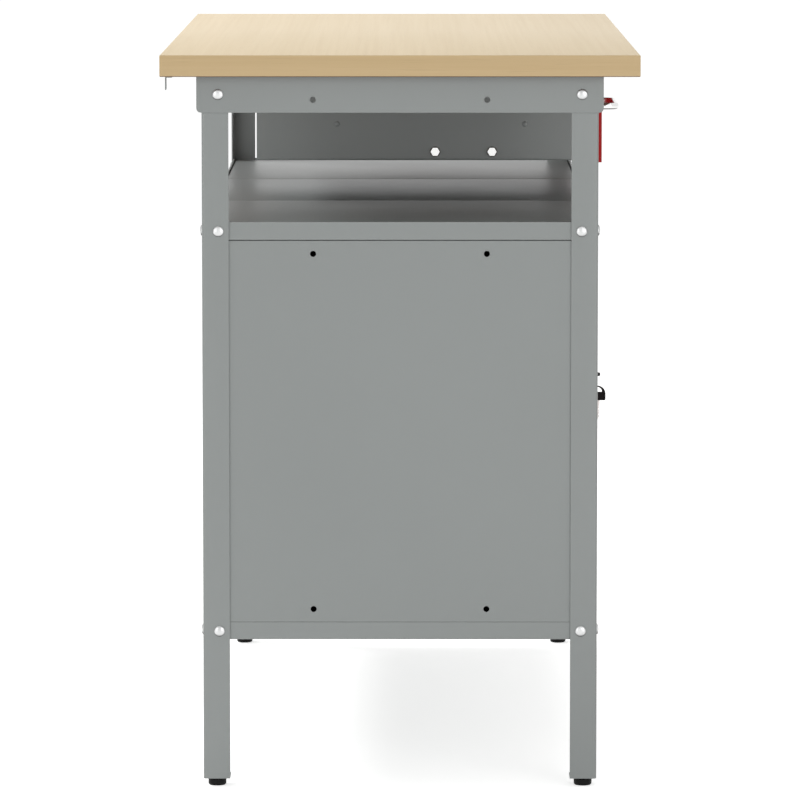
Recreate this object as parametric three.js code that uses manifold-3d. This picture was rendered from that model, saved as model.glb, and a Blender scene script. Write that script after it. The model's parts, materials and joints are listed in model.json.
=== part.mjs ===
// Steel workbench with a board top, an open shelf, one drawer and a two-door cabinet.
// Millimetres, +Z up. The front faces -Y, the origin is on the floor under the middle of the bench.

import * as THREE from 'three';
import { mergeVertices } from 'three/addons/utils/BufferGeometryUtils.js';
import Module from 'manifold-3d';

const wasm = await Module();
wasm.setup();

// Overall sizes
const benchLength = 1200;
const benchDepth = 550;
const benchHeight = 850;
const worktopThickness = 25;
const worktopArris = 1;

// Clearances
const seatGap = 0.3; // between pieces that rest on each other
const pinGap = 0.3; // around a pin in its hole
const foldRadius = 1.5; // inside a fold of sheet
const roundSteps = 8; // facets of half a round hole
const boltHoleDiameter = 6.6;
const boltHoleFacets = 10;
const pinChamfer = 1;

// Legs and feet
const legWidth = 31;
const legSheet = 2;
const legInsetX = 22;
const legInsetY = 47;
const legPlate = 2.5;
const legBoltInset = 19; // from the leg's outer corner
const footDiameter = 21;
const footHeight = 9;
const footRound = 1.6;
const footStemDiameter = 8;
const footStemLength = 11;

// End aprons
const apronSheet = 1.5;
const apronHeight = 42;
const apronFlange = 30;
const apronOverhang = 5.7;
const apronCorner = 6;

// Holes shared by the aprons and the end panels
const panelHoleDiameter = 7;
const panelHolePitch = 200;
const apronHoleRise = 15;
const panelHoleInset = 15;

// Frames under the shelf and under the cabinet
const railSheet = 1.5;
const railFlange = 15;
const shelfHeight = 167.9; // from the upper rails to the worktop
const upperRailHeight = 21.4;
const lowerRailBottom = 172.1;
const lowerRailHeight = 20.5;
const sillLip = 16; // top flange of the lower front rail
const sillLedge = 28; // bottom flange of the lower front rail
const sillCover = 4; // how far the floor reaches under the sill's lip

// Shelf and floor pans
const panSheet = 1;
const panDrop = 2.4; // pan surface below the rail's top edge
const centrePanWidth = 384;
const panSeam = 0.6;

// Cabinet panels
const panelSheet = 1.2;
const panelFlange = 12;

// Drawer hangers, runners and rollers
const hangerX = 200;
const hangerSheet = 1.2;
const hangerDrop = 121; // below the worktop
const hangerTopFlange = 14;
const hangerBottomFlange = 11;
const hangerFront = 4; // behind the legs' front face
const hangerLength = 398.5;
const hangerBoltRise = 10.5; // above the hanger's bottom
const hangerBoltSetbacks = [113, 182]; // from the hanger's front end
const hangerHoleDiameter = 5;
const hangerHoleRise = 44;
const hangerHoleSetbacks = [73, 301];
const runnerSheet = 1.2;
const runnerHeadroom = 1.8; // over the drawer runner's flange
const runnerFlange = 11;
const runnerLift = 3; // above the hanger's bottom
const runnerSetback = 2; // of the fixed runner in its hanger
const rollerDiameter = 18;
const rollerWidth = 7;
const rollerPin = 5;
const rollerPinProud = 0.6;
const rollerBevel = 0.8;
const rollerSide = 1.7; // between a roller and the fixed runner's web
const frontRollerSetback = 7; // from the fixed runner's front end
const rearRollerSetback = 13; // from the drawer box's rear end

// Drawer
const drawerFrontWidth = 420;
const drawerFrontHeight = 120;
const drawerFrontDepth = 18.5;
const drawerFrontProud = 16; // of the legs' front face
const drawerTopGap = 3;
const drawerSheet = 1;
const drawerLip = 14;
const drawerFrontCorner = 2.5;
const drawerBoxDepth = 388;
const drawerBoxHeight = 84;
const drawerHem = 8; // height of the folded-over top edge
const drawerBoxLift = 9; // of the box's bottom above the front's lower edge
const drawerSideGap = 1.5; // between the drawer runner and the fixed runner's flanges

// Drawer handle
const handleSpan = 128; // between the two feet
const handleReach = 26; // from the drawer front to the handle's outside
const handleHeight = 8;
const handleThickness = 6;
const handleBend = 14;
const handleSteps = 36;

// Doors
const doorSheet = 1.2;
const doorDepth = 16;
const doorLip = 12;
const doorInset = 0.5; // behind the legs' front face
const doorCorner = 4; // outside radius of the doors' upright edges
const doorSideGap = 4;
const doorEndGap = 2.4; // above and below the doors
const doorMeetingGap = 3;

// Door pivots and stop
const pivotInset = 10; // from the door's edge and from its face
const pivotDiameter = 6;
const pivotCollar = 10;
const pivotReach = 9; // into the door
const pivotTail = 3.2; // into the rail
const stopWidth = 44;
const stopDrop = 17;
const stopRise = 9;
const stopSheet = 1.2;
const stopCorner = 5;
const stopUpperCorner = 2;
const stopGap = 0.8; // from the closed doors to the edge of the flange behind them

// Lock and keys
const lockX = 35; // from the doors' meeting line
const lockDrop = 214.3; // below the doors' top
const lockFlangeDiameter = 22;
const lockFlange = 2.5;
const lockFlangeBevel = 1.2;
const lockFlangeRim = 0.5;
const lockBarrelDiameter = 18;
const lockNutDiameter = 26;
const lockNutThickness = 4;
const plugDiameter = 12;
const plugProud = 0.4; // of the lock's face
const plugBevel = 0.6;
const plugStub = 7;
const plugStubProud = 1; // behind the cam
const camThickness = 2;
const camWidth = 15;
const camReach = 44;
const camCorner = 4;
const camGap = 0.5; // from the barrel's end to the cam
const camTipGap = 1.5; // from the door's back to the cam's tip
const camHub = 21; // length of the cam's flat part around the plug
const camCrank = 6; // length of its slope
const keyHeadWidth = 21.5;
const keyHeadLength = 18.5;
const keyHeadThickness = 3.6;
const keyHeadCrown = 10.2; // height of the head's rounded end
const keyHeadCorner = 1.8;
const keySlotWidth = 12.8;
const keySlotHeight = 6.3;
const keySlotWall = 1.6;
const keyBladeWidth = 6.8;
const keyBladeLength = 24.5;
const keyBladeThickness = 2;
const keyStandOff = 2.7; // key head in front of the lock
const keyTipRoom = 1.7; // from the blade's tip to the barrel's end
const keyBladeRoot = 2; // of the blade inside the head
const keyTipWidth = 2;
const keyTip = 2; // length of the slope to the tip
const keyNotches = 4;
const keyNotchStart = 5.9; // from the head
const keyNotchPitch = 3.5;
const keyNotchSlope = 1.2;
const keyNotchFlat = 0.7;
const keyNotchDepths = [0.9, 1.4];
const ringRadius = 10.4;
const ringWire = 1.4;
const ringOffset = 0.9; // from the slot's centre, towards the arch of the head

// Shoot bolt of the left door
const shootX = 30; // from the doors' meeting line
const shootDiameter = 6;
const shootLength = 74;
const shootKnobDiameter = 5;
const shootKnobLength = 7;
const shootKnobDrop = 45; // below the bolt's top
const guideSheet = 1.5;
const guideWidth = 18;
const guideTop = 16; // below the door's top
const guideHeight = 48;

// Tabs under the worktop's rear edge
const tabSheet = 1;
const tabDrop = 15.2;
const tabLeaf = 8;
const tabLength = 20;
const tabInset = 6; // from the worktop's rear edge
const tabEndInset = 10; // from the worktop's end

// Places that follow from the sizes above
const legX = benchLength / 2 - legInsetX;
const legY = benchDepth / 2 - legInsetY;
const boardBottom = benchHeight - worktopThickness;
const apronTop = boardBottom - seatGap;
const legTop = apronTop - apronSheet - seatGap;
const railX = legX - legSheet - seatGap;
const railY = legY - legSheet - seatGap;
const endRailHalf = railY - foldRadius;
const longRailHalf = railX - railSheet - seatGap;
const flangeHalf = railY - railFlange - seatGap;
const upperRailTop = boardBottom - shelfHeight;
const upperRailBottom = upperRailTop - upperRailHeight;
const lowerRailTop = lowerRailBottom + lowerRailHeight;
const boltX = legX - legBoltInset;
const boltY = legY - legBoltInset;
const apronBoltZ = boardBottom - apronHeight / 2;
const upperBoltZ = (upperRailBottom + upperRailTop) / 2;
const lowerBoltZ = (lowerRailBottom + lowerRailTop) / 2;
const panHalfX = longRailHalf - foldRadius;
const panHalfY = railY - railSheet - foldRadius - seatGap;
const openingHalf = legX - legWidth;
const doorFace = -(legY - doorInset);
const doorBack = doorFace + doorDepth;
const headFlange = railY + doorBack + stopGap; // bottom flange of the upper front rail
const doorBottom = lowerRailTop + doorEndGap;
const doorTop = upperRailBottom - doorEndGap;
const hingeEdge = openingHalf - doorSideGap;
const meetingEdge = doorMeetingGap / 2;
const pivotX = hingeEdge - pivotInset;
const pivotY = doorFace + pivotInset;
const hangerBottom = boardBottom - hangerDrop;
const hangerFrontY = -(legY - hangerFront);
const runnerX = hangerX - hangerSheet - seatGap;
const runnerBottom = hangerBottom + runnerLift;
const runnerHeight = 3 * runnerSheet + 2 * seatGap + rollerDiameter + runnerHeadroom;
const runnerFrontY = hangerFrontY + runnerSetback;
const runnerRearY = hangerFrontY + hangerLength - runnerSetback;
const rollerOuterX = runnerX - runnerSheet - rollerSide;
const rollerZ = runnerBottom + runnerSheet + seatGap + rollerDiameter / 2;
const drawerFace = -(legY + drawerFrontProud);
const drawerFrontTop = boardBottom - drawerTopGap;
const drawerFrontBottom = drawerFrontTop - drawerFrontHeight;
const drawerBoxFront = drawerFace + drawerFrontDepth + seatGap;
const drawerBoxRear = drawerBoxFront + drawerBoxDepth;
const drawerBoxBottom = drawerFrontBottom + drawerBoxLift;
const drawerRunnerX = runnerX - runnerFlange - drawerSideGap;
const drawerBoxX = drawerRunnerX - runnerSheet - seatGap;
const drawerRunnerTop = rollerZ + rollerDiameter / 2 + seatGap + runnerSheet;
const lockZ = doorTop - lockDrop;
const lockFace = doorFace - lockFlange;
const keyHoleY = lockFace - keyStandOff - keyHeadLength + keySlotWall + keySlotHeight / 2;
const keyHoleDrop = keySlotWall + keySlotHeight / 2;

const finish = {
  wood: { color: 0xd9c59c, roughness: 0.55, metalness: 0 },
  greyPaint: { color: 0x919493, roughness: 0.5, metalness: 0.2 },
  redPaint: { color: 0x98201f, roughness: 0.4, metalness: 0.1 },
  blackPlastic: { color: 0x161616, roughness: 0.6, metalness: 0 },
  whiteNylon: { color: 0xecebe4, roughness: 0.5, metalness: 0 },
  chrome: { color: 0xe2e2e2, roughness: 0.12, metalness: 1 },
  zinc: { color: 0xc4c5c2, roughness: 0.35, metalness: 1 },
};

const bench = new THREE.Group();

function addMesh(name, geometry, finishName, place = {}) {
  const mesh = new THREE.Mesh(geometry, new THREE.MeshStandardMaterial(finish[finishName]));
  mesh.name = name;
  mesh.position.set(place.x ?? 0, place.y ?? 0, place.z ?? 0);
  mesh.rotation.z = place.turn ?? 0;
  bench.add(mesh);
  return mesh;
}

// Solids: closed meshes that can be joined and cut

function weld(geometry) {
  const bare = geometry.clone();
  bare.deleteAttribute('normal');
  bare.deleteAttribute('uv');
  const merged = mergeVertices(bare, 1e-4);
  const source = merged.index.array;
  const faces = [];
  for (let i = 0; i < source.length; i += 3) {
    const [a, b, c] = [source[i], source[i + 1], source[i + 2]];
    if (a !== b && b !== c && c !== a) faces.push(a, b, c);
  }
  const points = merged.attributes.position.array;
  if (signedVolume(points, faces) < 0) faces.reverse();
  return { points, faces };
}

function signedVolume(points, faces) {
  const corner = (i) => new THREE.Vector3().fromArray(points, faces[i] * 3);
  let volume = 0;
  for (let i = 0; i < faces.length; i += 3) {
    volume += corner(i).dot(corner(i + 1).cross(corner(i + 2))) / 6;
  }
  return volume;
}

function toSolid(geometry) {
  const { points, faces } = weld(geometry);
  const triVerts = new Uint32Array(faces);
  return new wasm.Manifold(new wasm.Mesh({ numProp: 3, vertProperties: points, triVerts }));
}

function toGeometry(solid) {
  const mesh = solid.getMesh();
  const geometry = new THREE.BufferGeometry();
  geometry.setAttribute('position', new THREE.BufferAttribute(mesh.vertProperties, 3));
  geometry.setIndex(new THREE.BufferAttribute(mesh.triVerts, 1));
  geometry.computeVertexNormals();
  return geometry;
}

function join(...pieces) {
  return toGeometry(pieces.map(toSolid).reduce((whole, piece) => whole.add(piece)));
}

function cut(piece, ...tools) {
  return toGeometry(tools.map(toSolid).reduce((whole, tool) => whole.subtract(tool), toSolid(piece)));
}

function shared(piece, other) {
  return toGeometry(toSolid(piece).intersect(toSolid(other)));
}

// Basic forms

function box(x0, x1, y0, y1, z0, z1) {
  const geometry = new THREE.BoxGeometry(x1 - x0, y1 - y0, z1 - z0);
  return geometry.translate((x0 + x1) / 2, (y0 + y1) / 2, (z0 + z1) / 2);
}

const axes = {
  x: new THREE.Vector3(1, 0, 0),
  y: new THREE.Vector3(0, 1, 0),
  z: new THREE.Vector3(0, 0, 1),
};

// A section is drawn in (y, z) along x, in (x, z) along y and in (x, y) along z.
function extrude(axis, shape, from, to, curveSegments = 4) {
  const options = { depth: to - from, bevelEnabled: false, curveSegments };
  const geometry = new THREE.ExtrudeGeometry(shape, options);
  const basis = new THREE.Matrix4();
  if (axis === 'x') basis.makeBasis(axes.y, axes.z, axes.x).setPosition(from, 0, 0);
  if (axis === 'y') basis.makeBasis(axes.x, axes.z, axes.y.clone().negate()).setPosition(0, to, 0);
  if (axis === 'z') basis.setPosition(0, 0, from);
  return geometry.applyMatrix4(basis);
}

// A profile of [radius, height] points is turned around the axis.
function turned(axis, profile, segments = 16) {
  const points = profile.map(([radius, height]) => new THREE.Vector2(radius, height));
  const geometry = new THREE.LatheGeometry(points, segments);
  if (axis === 'x') geometry.rotateZ(-Math.PI / 2);
  if (axis === 'z') geometry.rotateX(Math.PI / 2);
  return toGeometry(toSolid(geometry));
}

function rod(axis, diameter, from, to, segments = 16) {
  const radius = diameter / 2;
  return turned(axis, [[0, from], [radius, from], [radius, to], [0, to]], segments);
}

function traceFolds(shape, line, radius) {
  for (let i = 1; i < line.length - 1; i += 1) {
    const before = line[i - 1].clone().sub(line[i]).setLength(radius).add(line[i]);
    const after = line[i + 1].clone().sub(line[i]).setLength(radius).add(line[i]);
    shape.lineTo(before.x, before.y);
    shape.quadraticCurveTo(line[i].x, line[i].y, after.x, after.y);
  }
  const end = line[line.length - 1];
  shape.lineTo(end.x, end.y);
}

// Section of sheet folded along a line of right angles. The line is the outside of every fold, and
// the sheet lies on its left, or on its right where the thickness is negative.
function foldedSection(corners, sheet, radius = foldRadius) {
  const line = corners.map(([u, v]) => new THREE.Vector2(u, v));
  const normals = line.slice(1).map((point, i) => {
    const along = point.clone().sub(line[i]).normalize();
    return new THREE.Vector2(-along.y, along.x).multiplyScalar(sheet);
  });
  const inside = line.map((point, i) => {
    const shifted = point.clone();
    if (i > 0) shifted.add(normals[i - 1]);
    if (i < normals.length) shifted.add(normals[i]);
    return shifted;
  });
  const shape = new THREE.Shape();
  shape.moveTo(line[0].x, line[0].y);
  traceFolds(shape, line, radius + Math.abs(sheet));
  const back = inside.reverse();
  shape.lineTo(back[0].x, back[0].y);
  traceFolds(shape, back, radius);
  return shape;
}

// Rectangle with rounded corners, given from the lower left one anticlockwise.
function roundedOutline(u0, u1, v0, v1, radii) {
  const corners = [[u0, v0], [u1, v0], [u1, v1], [u0, v1]];
  const towards = [[1, 0, 0, 1], [0, 1, -1, 0], [-1, 0, 0, -1], [0, -1, 1, 0]];
  const shape = new THREE.Shape();
  corners.forEach(([u, v], i) => {
    const [outU, outV, inU, inV] = towards[i];
    const radius = radii[i];
    const start = [u + inU * radius, v + inV * radius];
    if (i === 0) shape.moveTo(...start);
    else shape.lineTo(...start);
    if (radius > 0) shape.quadraticCurveTo(u, v, u + outU * radius, v + outV * radius);
  });
  return shape;
}

function roundHole(u, v, diameter) {
  return new THREE.Path().absarc(u, v, diameter / 2, 0, Math.PI * 2, true);
}

// Hole for a bolt across the given axis, through sheet on both sides of a point
function boltHole(axis, x, y, z, sheet) {
  return rod(axis, boltHoleDiameter, -2 * sheet, 2 * sheet, boltHoleFacets).translate(x, y, z);
}

// Board top

function worktop() {
  const width = benchLength - 2 * worktopArris;
  const depth = benchDepth - 2 * worktopArris;
  const outline = roundedOutline(-width / 2, width / 2, -depth / 2, depth / 2, [0, 0, 0, 0]);
  const geometry = new THREE.ExtrudeGeometry(outline, {
    depth: worktopThickness - 2 * worktopArris,
    bevelSize: worktopArris,
    bevelThickness: worktopArris,
    bevelSegments: 2,
  });
  return geometry.translate(0, 0, boardBottom + worktopArris);
}

addMesh('worktop', worktop(), 'wood');

// Legs: the corner of the angle is at the local origin, and each leg is turned a quarter further, so
// the face at the bench's end lies across x on one leg and across y on the next

function leg(endAxis) {
  const bottom = footHeight + seatGap;
  const section = foldedSection([[0, legWidth], [0, 0], [legWidth, 0]], legSheet);
  const weldDepth = legSheet / 2;
  const plate = box(weldDepth, legWidth, weldDepth, legWidth, bottom, bottom + legPlate);
  const stemHole = rod('z', footStemDiameter + 2 * pinGap, 0, 2 * footHeight);
  stemHole.translate(legWidth / 2, legWidth / 2, 0);
  const hole = (axis, z) => {
    const [x, y] = axis === 'x' ? [0, legBoltInset] : [legBoltInset, 0];
    return boltHole(axis, x, y, z, legSheet);
  };
  const sideAxis = endAxis === 'x' ? 'y' : 'x';
  const endHoles = [apronBoltZ, upperBoltZ, lowerBoltZ].map((z) => hole(endAxis, z));
  const sideHoles = [upperBoltZ, lowerBoltZ].map((z) => hole(sideAxis, z));
  return cut(join(extrude('z', section, bottom, legTop), plate), stemHole, ...endHoles, ...sideHoles);
}

function foot() {
  const radius = footDiameter / 2;
  const stem = footStemDiameter / 2;
  const round = footRound;
  return turned('z', [
    [0, 0],
    [radius - 2 * round, 0],
    [radius - round, round / 3],
    [radius, 2 * round],
    [radius, footHeight - round],
    [radius - round, footHeight],
    [stem, footHeight],
    [stem, footHeight + footStemLength],
    [0, footHeight + footStemLength],
  ]);
}

const cornerNames = ['front_left', 'front_right', 'rear_right', 'rear_left'];
const cornerSigns = [[-1, -1], [1, -1], [1, 1], [-1, 1]];
cornerNames.forEach((name, i) => {
  const [sideX, sideY] = cornerSigns[i];
  const place = { x: sideX * legX, y: sideY * legY, turn: (i * Math.PI) / 2 };
  addMesh(`leg_${name}`, leg(i % 2 ? 'y' : 'x'), 'greyPaint', place);
  const half = legWidth / 2;
  const footPlace = { x: sideX * (legX - half), y: sideY * (legY - half) };
  addMesh(`foot_${name}`, foot(), 'blackPlastic', footPlace);
});

// Both ends are made for +X, and the left one is turned by half a turn

const endTurns = [['left', Math.PI], ['right', 0]];

function endApron() {
  const half = legY + apronOverhang;
  const bottom = boardBottom - apronHeight;
  const outline = roundedOutline(-half, half, bottom, apronTop, [apronCorner, apronCorner, 0, 0]);
  for (const side of [-1, 1]) {
    const holeY = (side * panelHolePitch) / 2;
    outline.holes.push(roundHole(holeY, bottom + apronHoleRise, panelHoleDiameter));
    outline.holes.push(roundHole(side * boltY, apronBoltZ, boltHoleDiameter));
  }
  const inside = legX + seatGap;
  const plate = extrude('x', outline, inside, inside + apronSheet, roundSteps);
  const flangeEnd = inside + apronSheet - apronFlange;
  const overlap = apronSheet / 2;
  const flange = box(flangeEnd, inside + overlap, -half, half, apronTop - apronSheet, apronTop);
  return join(plate, flange);
}

// The flange stops short of the long rails' flanges, which lie at the same height.
function endRail(bottom, top, longFlange) {
  const corners = [[railX, top], [railX, bottom], [railX - railFlange, bottom]];
  const rail = extrude('y', foldedSection(corners, -railSheet), -endRailHalf, endRailHalf);
  const inner = railX - railSheet;
  const deep = bottom + railSheet + foldRadius;
  const half = railY - longFlange - seatGap;
  const notches = [-1, 1].map((side) => {
    const [from, to] = side < 0 ? [-legY, -half] : [half, legY];
    return box(inner - railFlange, inner, from, to, bottom - seatGap, deep);
  });
  const middle = (bottom + top) / 2;
  const holes = [-1, 1].map((side) => boltHole('x', railX, side * boltY, middle, railSheet));
  return cut(rail, ...notches, ...holes);
}

function endPanel() {
  const bottom = lowerRailTop + seatGap;
  const top = upperRailBottom - seatGap;
  const outline = roundedOutline(-endRailHalf, endRailHalf, bottom, top, [0, 0, 0, 0]);
  for (const side of [-1, 1]) {
    const holeY = (side * panelHolePitch) / 2;
    outline.holes.push(roundHole(holeY, bottom + panelHoleInset, panelHoleDiameter));
    outline.holes.push(roundHole(holeY, top - panelHoleInset, panelHoleDiameter));
  }
  const inner = railX - panelSheet;
  const plate = extrude('x', outline, inner, railX, roundSteps);
  const flange = (z) => {
    const x0 = railX - panelFlange;
    return box(x0, railX - panelSheet / 2, -flangeHalf, flangeHalf, z, z + panelSheet);
  };
  return join(plate, flange(bottom), flange(top - panelSheet));
}

for (const [name, turn] of endTurns) {
  addMesh(`end_apron_${name}`, endApron(), 'greyPaint', { turn });
  const upperRail = endRail(upperRailBottom, upperRailTop, Math.max(railFlange, headFlange));
  addMesh(`upper_rail_${name}`, upperRail, 'greyPaint', { turn });
  const lowerRail = endRail(lowerRailBottom, lowerRailTop, sillLedge);
  addMesh(`lower_rail_${name}`, lowerRail, 'greyPaint', { turn });
  addMesh(`end_panel_${name}`, endPanel(), 'greyPaint', { turn });
}

// Long rails

function longRail(corners, sheet, y, boltZ) {
  const rail = extrude('x', foldedSection(corners, sheet), -longRailHalf, longRailHalf);
  return cut(rail, ...[-1, 1].map((side) => boltHole('y', side * boltX, y, boltZ, railSheet)));
}

function rearRail(bottom, top) {
  const corners = [[railY, top], [railY, bottom], [railY - railFlange, bottom]];
  return longRail(corners, -railSheet, railY, (bottom + top) / 2);
}

function pinHole(x, y, diameter, z0, z1) {
  return rod('z', diameter + 2 * pinGap, z0, z1).translate(x, y, 0);
}

function upperFrontRail() {
  const corners = [[-railY, upperRailTop], [-railY, upperRailBottom], [-railY + headFlange, upperRailBottom]];
  const rail = longRail(corners, railSheet, -railY, upperBoltZ);
  const z0 = upperRailBottom - seatGap;
  const z1 = upperRailBottom + 2 * railSheet;
  return cut(
    rail,
    pinHole(-pivotX, pivotY, pivotDiameter, z0, z1),
    pinHole(pivotX, pivotY, pivotDiameter, z0, z1),
    pinHole(-shootX, pivotY, shootDiameter, z0, z1),
  );
}

function lowerFrontRail() {
  const rail = longRail([
    [-railY + sillLip, lowerRailTop],
    [-railY, lowerRailTop],
    [-railY, lowerRailBottom],
    [-railY + sillLedge, lowerRailBottom],
  ], railSheet, -railY, lowerBoltZ);
  const z0 = lowerRailTop - 2 * railSheet;
  const z1 = lowerRailTop + seatGap;
  return cut(
    rail,
    pinHole(-pivotX, pivotY, pivotDiameter, z0, z1),
    pinHole(pivotX, pivotY, pivotDiameter, z0, z1),
  );
}

addMesh('upper_rail_front', upperFrontRail(), 'greyPaint');
addMesh('upper_rail_rear', rearRail(upperRailBottom, upperRailTop), 'greyPaint');
addMesh('lower_rail_front', lowerFrontRail(), 'greyPaint');
addMesh('lower_rail_rear', rearRail(lowerRailBottom, lowerRailTop), 'greyPaint');

// Back panel

function backPanel() {
  const bottom = lowerRailTop + seatGap;
  const top = upperRailBottom - seatGap;
  const inside = railY - panelFlange;
  const corners = [[inside, bottom], [railY, bottom], [railY, top], [inside, top]];
  return extrude('x', foldedSection(corners, panelSheet), -longRailHalf, longRailHalf);
}

addMesh('back_panel', backPanel(), 'greyPaint');

// Shelf deck and cabinet floor: pans with turned-down edges, side by side on the rails

function pan(x0, x1, y0, y1, bottom, top, holes) {
  const t = panSheet;
  const round = foldRadius + t;
  const outside = roundedOutline(x0, x1, bottom, top, [0, 0, round, round]);
  const hollow = roundedOutline(x0 + t, x1 - t, bottom - t, top - t, [0, 0, foldRadius, foldRadius]);
  return cut(extrude('y', outside, y0, y1), extrude('y', hollow, y0 + t, y1 - t), ...holes);
}

// The outer pans are bolted through their end walls and through the walls at the given places.
function panHoles(name, walls, z) {
  if (name === 'middle') return [];
  const side = name === 'left' ? -1 : 1;
  const ends = [-1, 1].map((way) => boltHole('x', side * panHalfX, way * boltY, z, panSheet));
  return [...ends, ...walls.map((y) => boltHole('y', side * boltX, y, z, panSheet))];
}

const seamX = centrePanWidth / 2;
const panSpans = [
  ['left', -panHalfX, -seamX - panSeam / 2],
  ['middle', -seamX + panSeam / 2, seamX - panSeam / 2],
  ['right', seamX + panSeam / 2, panHalfX],
];
const deckBottom = upperRailBottom + railSheet + seatGap;
const floorBottom = lowerRailBottom + railSheet + seatGap;
const floorFront = -railY + sillLip - sillCover;
for (const [name, x0, x1] of panSpans) {
  const deckHoles = panHoles(name, [-panHalfY, panHalfY], upperBoltZ);
  const deck = pan(x0, x1, -panHalfY, panHalfY, deckBottom, upperRailTop - panDrop, deckHoles);
  addMesh(`shelf_deck_${name}`, deck, 'greyPaint');
  const floorHoles = panHoles(name, [panHalfY], lowerBoltZ);
  const floor = pan(x0, x1, floorFront, panHalfY, floorBottom, lowerRailTop - panDrop, floorHoles);
  addMesh(`cabinet_floor_${name}`, floor, 'greyPaint');
}

// Pan-shaped front: a face with four returns, and a lip all round its open back

function panFront(x0, x1, z0, z1, face, depth, sheet, lip, corner) {
  const back = face + depth;
  const inner = corner - sheet;
  const outline = roundedOutline(x0, x1, face, back, [corner, corner, corner, corner]);
  const inside = [x0 + sheet, x1 - sheet, face + sheet, back - sheet];
  const hollow = roundedOutline(...inside, [inner, inner, inner, inner]);
  const mouth = box(x0 + lip, x1 - lip, back - 2 * sheet, back + sheet, z0 + lip, z1 - lip);
  const block = extrude('z', outline, z0, z1);
  return cut(block, extrude('z', hollow, z0 + sheet, z1 - sheet), mouth);
}

function door(x0, x1, pinX, ...otherCuts) {
  const front = panFront(x0, x1, doorBottom, doorTop, doorFace, doorDepth, doorSheet, doorLip, doorCorner);
  const low = pinHole(pinX, pivotY, pivotDiameter, doorBottom - doorSheet, doorBottom + 2 * doorSheet);
  const high = pinHole(pinX, pivotY, pivotDiameter, doorTop - 2 * doorSheet, doorTop + doorSheet);
  return cut(front, low, high, ...otherCuts);
}

const shootHole = pinHole(-shootX, pivotY, shootDiameter, doorTop - 2 * doorSheet, doorTop + doorSheet);
const lockHole = rod('y', lockBarrelDiameter + 2 * pinGap, doorFace - doorSheet, doorFace + 2 * doorSheet);
lockHole.translate(lockX, 0, lockZ);
addMesh('door_left', door(-hingeEdge, -meetingEdge, -pivotX, shootHole), 'redPaint');
addMesh('door_right', door(meetingEdge, hingeEdge, pivotX, lockHole), 'redPaint');

// Pivot pins: a collar carries the door, a tail is riveted into the rail

function pivotPin() {
  const radius = pivotDiameter / 2;
  const collar = pivotCollar / 2;
  const collarHeight = doorEndGap - 2 * seatGap;
  const top = collarHeight + seatGap + pivotReach;
  return turned('z', [
    [0, -pivotTail],
    [radius, -pivotTail],
    [radius, 0],
    [collar, 0],
    [collar, collarHeight],
    [radius, collarHeight],
    [radius, top - pinChamfer],
    [radius - pinChamfer, top],
    [0, top],
  ]);
}

for (const [name, side] of [['left', -1], ['right', 1]]) {
  const low = addMesh(`pivot_pin_${name}_lower`, pivotPin(), 'zinc');
  low.position.set(side * pivotX, pivotY, lowerRailTop + seatGap);
  const high = addMesh(`pivot_pin_${name}_upper`, pivotPin(), 'zinc');
  high.position.set(side * pivotX, pivotY, upperRailBottom - seatGap);
  high.rotation.x = Math.PI;
}

// Stop plate behind the doors' meeting edges, on the upper rail's flange
const stopY = -railY + headFlange + seatGap;
const stopZ = [upperRailBottom - stopDrop, upperRailBottom + stopRise];
const stopRadii = [stopCorner, stopCorner, stopUpperCorner, stopUpperCorner];
const stopOutline = roundedOutline(-stopWidth / 2, stopWidth / 2, ...stopZ, stopRadii);
addMesh('door_stop', extrude('y', stopOutline, stopY, stopY + stopSheet), 'greyPaint');

// Lock, along Y through the right door

const barrelEnd = lockFace - keyStandOff + keyBladeLength + keyTipRoom;
const stubEnd = barrelEnd + camGap + camThickness + plugStubProud;
const plugBore = plugDiameter / 2 + pinGap;

function lockBody() {
  const flange = lockFlangeDiameter / 2;
  const barrel = lockBarrelDiameter / 2;
  const seat = doorFace - seatGap;
  return turned('y', [
    [plugBore, lockFace],
    [flange - lockFlangeBevel, lockFace],
    [flange, seat - lockFlangeRim],
    [flange, seat],
    [barrel, seat],
    [barrel, barrelEnd],
    [plugBore, barrelEnd],
    [plugBore, lockFace],
  ], 24);
}

function lockNut() {
  const bore = lockBarrelDiameter / 2 + pinGap;
  const start = doorFace + doorSheet + seatGap;
  const shape = new THREE.Shape();
  for (let i = 0; i < 6; i += 1) {
    const angle = (i * Math.PI) / 3;
    const point = [Math.cos(angle), Math.sin(angle)].map((part) => (part * lockNutDiameter) / 2);
    if (i === 0) shape.moveTo(...point);
    else shape.lineTo(...point);
  }
  shape.holes.push(roundHole(0, 0, 2 * bore));
  return extrude('y', shape, start, start + lockNutThickness, roundSteps);
}

function lockPlug() {
  const plug = plugDiameter / 2;
  const stub = plugStub / 2;
  const body = turned('y', [
    [0, lockFace - plugProud],
    [plug - plugBevel, lockFace - plugProud],
    [plug, lockFace - plugProud + plugBevel],
    [plug, barrelEnd],
    [stub, barrelEnd],
    [stub, stubEnd],
    [0, stubEnd],
  ], 24);
  const slotX = keyBladeWidth / 2 + pinGap;
  const slotZ = keyBladeThickness / 2 + pinGap;
  const slotEnd = lockFace - keyStandOff + keyBladeLength + 2 * pinGap;
  return cut(body, box(-slotX, slotX, lockFace - 1, slotEnd, -slotZ, slotZ));
}

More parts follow.
